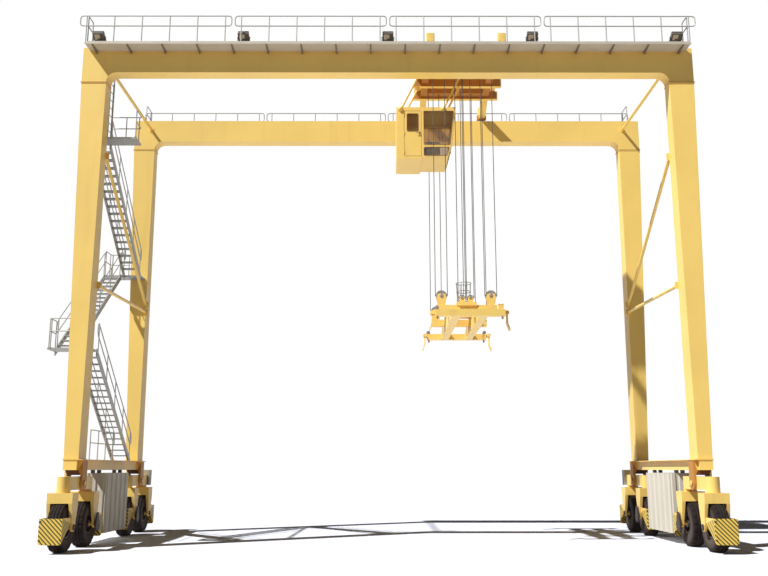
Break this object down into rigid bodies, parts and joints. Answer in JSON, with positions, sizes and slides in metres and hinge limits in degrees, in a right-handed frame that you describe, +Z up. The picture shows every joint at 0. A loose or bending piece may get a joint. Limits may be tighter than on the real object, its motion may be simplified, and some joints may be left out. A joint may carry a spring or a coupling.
{
  "type": "rubber tyred gantry crane",
  "caption": "Yard gantry crane on steered rubber tyres: two portal frames, a trolley with a hung cab, and a container spreader on wire ropes.",
  "frame": {"origin": "on the ground at the middle of the gantry, halfway between the wheel tracks and between the two portal frames", "axes": "+X along the span to the right, +Y along the gantry's travel away from the camera, +Z up"},
  "size_m": [22.635, 10.947, 18.9999],
  "materials": {
    "yellow_paint": "satin warm yellow paint",
    "house_paint": "matt off-white paint",
    "walkway_paint": "pale grey paint",
    "galvanised_steel": "dull galvanised steel",
    "rail_steel": "worn dark steel",
    "machine_grey": "grey machine paint",
    "lamp_case": "dark lamp housing",
    "cab_glass": "brown tinted glass",
    "wire_rope": "steel wire rope",
    "tyre_rubber": "worn tyre rubber",
    "rim_paint": "dusty yellow rim paint"
  },
  "bodies": {
    "gantry": {"front_girder": "yellow_paint", "rear_girder": "yellow_paint", "trolley_rails": "rail_steel", "front_legs": "yellow_paint", "rear_legs": "yellow_paint", "sill_beams": "yellow_paint", "machinery_houses": "house_paint", "frame_braces": "yellow_paint", "front_walkway": "walkway_paint", "rear_walkway": "walkway_paint", "front_railing": "galvanised_steel", "rear_railing": "galvanised_steel", "floodlights": "lamp_case", "lower_stair": "galvanised_steel", "middle_stair": "galvanised_steel", "upper_stair": "galvanised_steel", "stair_landings": "galvanised_steel", "stair_railings": "galvanised_steel", "access_ladder": "galvanised_steel"},
    "trolley": {"trolley_frame": "yellow_paint", "trolley_wheels": "rail_steel", "hoist_machinery": "machine_grey", "cab_shell": "yellow_paint", "cab_door": "yellow_paint", "cab_glazing": "cab_glass", "cab_struts": "yellow_paint", "hoist_ropes": "wire_rope"},
    "spreader": {"spreader_frame": "yellow_paint", "headblock": "yellow_paint", "rope_sheaves": "rail_steel"},
    "flippers_left": {"left_flippers": "yellow_paint"},
    "flippers_right": {"right_flippers": "yellow_paint"},
    "front_left_bogie": {"front_left_equaliser": "yellow_paint"},
    "front_left_outer_steering": {"front_left_outer_fork": "yellow_paint"},
    "front_left_outer_wheel": {"front_left_outer_tyre": "tyre_rubber", "front_left_outer_rim": "rim_paint"},
    "front_left_inner_steering": {"front_left_inner_fork": "yellow_paint"},
    "front_left_inner_wheel": {"front_left_inner_tyre": "tyre_rubber", "front_left_inner_rim": "rim_paint"},
    "front_right_bogie": {"front_right_equaliser": "yellow_paint"},
    "front_right_outer_steering": {"front_right_outer_fork": "yellow_paint"},
    "front_right_outer_wheel": {"front_right_outer_tyre": "tyre_rubber", "front_right_outer_rim": "rim_paint"},
    "front_right_inner_steering": {"front_right_inner_fork": "yellow_paint"},
    "front_right_inner_wheel": {"front_right_inner_tyre": "tyre_rubber", "front_right_inner_rim": "rim_paint"},
    "rear_left_bogie": {"rear_left_equaliser": "yellow_paint"},
    "rear_left_outer_steering": {"rear_left_outer_fork": "yellow_paint"},
    "rear_left_outer_wheel": {"rear_left_outer_tyre": "tyre_rubber", "rear_left_outer_rim": "rim_paint"},
    "rear_left_inner_steering": {"rear_left_inner_fork": "yellow_paint"},
    "rear_left_inner_wheel": {"rear_left_inner_tyre": "tyre_rubber", "rear_left_inner_rim": "rim_paint"},
    "rear_right_bogie": {"rear_right_equaliser": "yellow_paint"},
    "rear_right_outer_steering": {"rear_right_outer_fork": "yellow_paint"},
    "rear_right_outer_wheel": {"rear_right_outer_tyre": "tyre_rubber", "rear_right_outer_rim": "rim_paint"},
    "rear_right_inner_steering": {"rear_right_inner_fork": "yellow_paint"},
    "rear_right_inner_wheel": {"rear_right_inner_tyre": "tyre_rubber", "rear_right_inner_rim": "rim_paint"}
  },
  "joints": [
    {"name": "trolley_travel", "type": "slide", "parent": "gantry", "child": "trolley", "axis": [1, 0, 0], "range_m": [-9.8, 5]},
    {"name": "hoist", "type": "slide", "parent": "trolley", "child": "spreader", "axis": [0, 0, 1], "range_m": [-7.2, 4.5], "deforming": ["hoist_ropes"]},
    {"name": "flippers_left_swing", "type": "hinge", "parent": "spreader", "child": "flippers_left", "pos_m": [1.541, 0, 7.89], "axis": [0, 1, 0], "range_deg": [0, 180]},
    {"name": "flippers_right_swing", "type": "hinge", "parent": "spreader", "child": "flippers_right", "pos_m": [4.159, 0, 7.89], "axis": [0, -1, 0], "range_deg": [0, 180]},
    {"name": "front_left_equalise", "type": "hinge", "parent": "gantry", "child": "front_left_bogie", "pos_m": [-10.25, -3.5285, 2.09], "axis": [1, 0, 0], "range_deg": [-3, 3]},
    {"name": "front_left_outer_steer", "type": "hinge", "parent": "front_left_bogie", "child": "front_left_outer_steering", "pos_m": [-10.25, -4.5835, 1.8], "axis": [0, 0, 1], "range_deg": [0, 90]},
    {"name": "front_left_outer_spin", "type": "hinge", "parent": "front_left_outer_steering", "child": "front_left_outer_wheel", "pos_m": [-10.25, -4.5835, 0.75], "axis": [1, 0, 0], "continuous": true},
    {"name": "front_left_inner_steer", "type": "hinge", "parent": "front_left_bogie", "child": "front_left_inner_steering", "pos_m": [-10.25, -2.4735, 1.8], "axis": [0, 0, 1], "range_deg": [0, 90]},
    {"name": "front_left_inner_spin", "type": "hinge", "parent": "front_left_inner_steering", "child": "front_left_inner_wheel", "pos_m": [-10.25, -2.4735, 0.75], "axis": [1, 0, 0], "continuous": true},
    {"name": "front_right_equalise", "type": "hinge", "parent": "gantry", "child": "front_right_bogie", "pos_m": [10.25, -3.5285, 2.09], "axis": [1, 0, 0], "range_deg": [-3, 3]},
    {"name": "front_right_outer_steer", "type": "hinge", "parent": "front_right_bogie", "child": "front_right_outer_steering", "pos_m": [10.25, -4.5835, 1.8], "axis": [0, 0, 1], "range_deg": [0, 90]},
    {"name": "front_right_outer_spin", "type": "hinge", "parent": "front_right_outer_steering", "child": "front_right_outer_wheel", "pos_m": [10.25, -4.5835, 0.75], "axis": [1, 0, 0], "continuous": true},
    {"name": "front_right_inner_steer", "type": "hinge", "parent": "front_right_bogie", "child": "front_right_inner_steering", "pos_m": [10.25, -2.4735, 1.8], "axis": [0, 0, 1], "range_deg": [0, 90]},
    {"name": "front_right_inner_spin", "type": "hinge", "parent": "front_right_inner_steering", "child": "front_right_inner_wheel", "pos_m": [10.25, -2.4735, 0.75], "axis": [1, 0, 0], "continuous": true},
    {"name": "rear_left_equalise", "type": "hinge", "parent": "gantry", "child": "rear_left_bogie", "pos_m": [-10.25, 3.5285, 2.09], "axis": [1, 0, 0], "range_deg": [-3, 3]},
    {"name": "rear_left_outer_steer", "type": "hinge", "parent": "rear_left_bogie", "child": "rear_left_outer_steering", "pos_m": [-10.25, 4.5835, 1.8], "axis": [0, 0, 1], "range_deg": [0, 90]},
    {"name": "rear_left_outer_spin", "type": "hinge", "parent": "rear_left_outer_steering", "child": "rear_left_outer_wheel", "pos_m": [-10.25, 4.5835, 0.75], "axis": [1, 0, 0], "continuous": true},
    {"name": "rear_left_inner_steer", "type": "hinge", "parent": "rear_left_bogie", "child": "rear_left_inner_steering", "pos_m": [-10.25, 2.4735, 1.8], "axis": [0, 0, 1], "range_deg": [0, 90]},
    {"name": "rear_left_inner_spin", "type": "hinge", "parent": "rear_left_inner_steering", "child": "rear_left_inner_wheel", "pos_m": [-10.25, 2.4735, 0.75], "axis": [1, 0, 0], "continuous": true},
    {"name": "rear_right_equalise", "type": "hinge", "parent": "gantry", "child": "rear_right_bogie", "pos_m": [10.25, 3.5285, 2.09], "axis": [1, 0, 0], "range_deg": [-3, 3]},
    {"name": "rear_right_outer_steer", "type": "hinge", "parent": "rear_right_bogie", "child": "rear_right_outer_steering", "pos_m": [10.25, 4.5835, 1.8], "axis": [0, 0, 1], "range_deg": [0, 90]},
    {"name": "rear_right_outer_spin", "type": "hinge", "parent": "rear_right_outer_steering", "child": "rear_right_outer_wheel", "pos_m": [10.25, 4.5835, 0.75], "axis": [1, 0, 0], "continuous": true},
    {"name": "rear_right_inner_steer", "type": "hinge", "parent": "rear_right_bogie", "child": "rear_right_inner_steering", "pos_m": [10.25, 2.4735, 1.8], "axis": [0, 0, 1], "range_deg": [0, 90]},
    {"name": "rear_right_inner_spin", "type": "hinge", "parent": "rear_right_inner_steering", "child": "rear_right_inner_wheel", "pos_m": [10.25, 2.4735, 0.75], "axis": [1, 0, 0], "continuous": true}
  ]
}
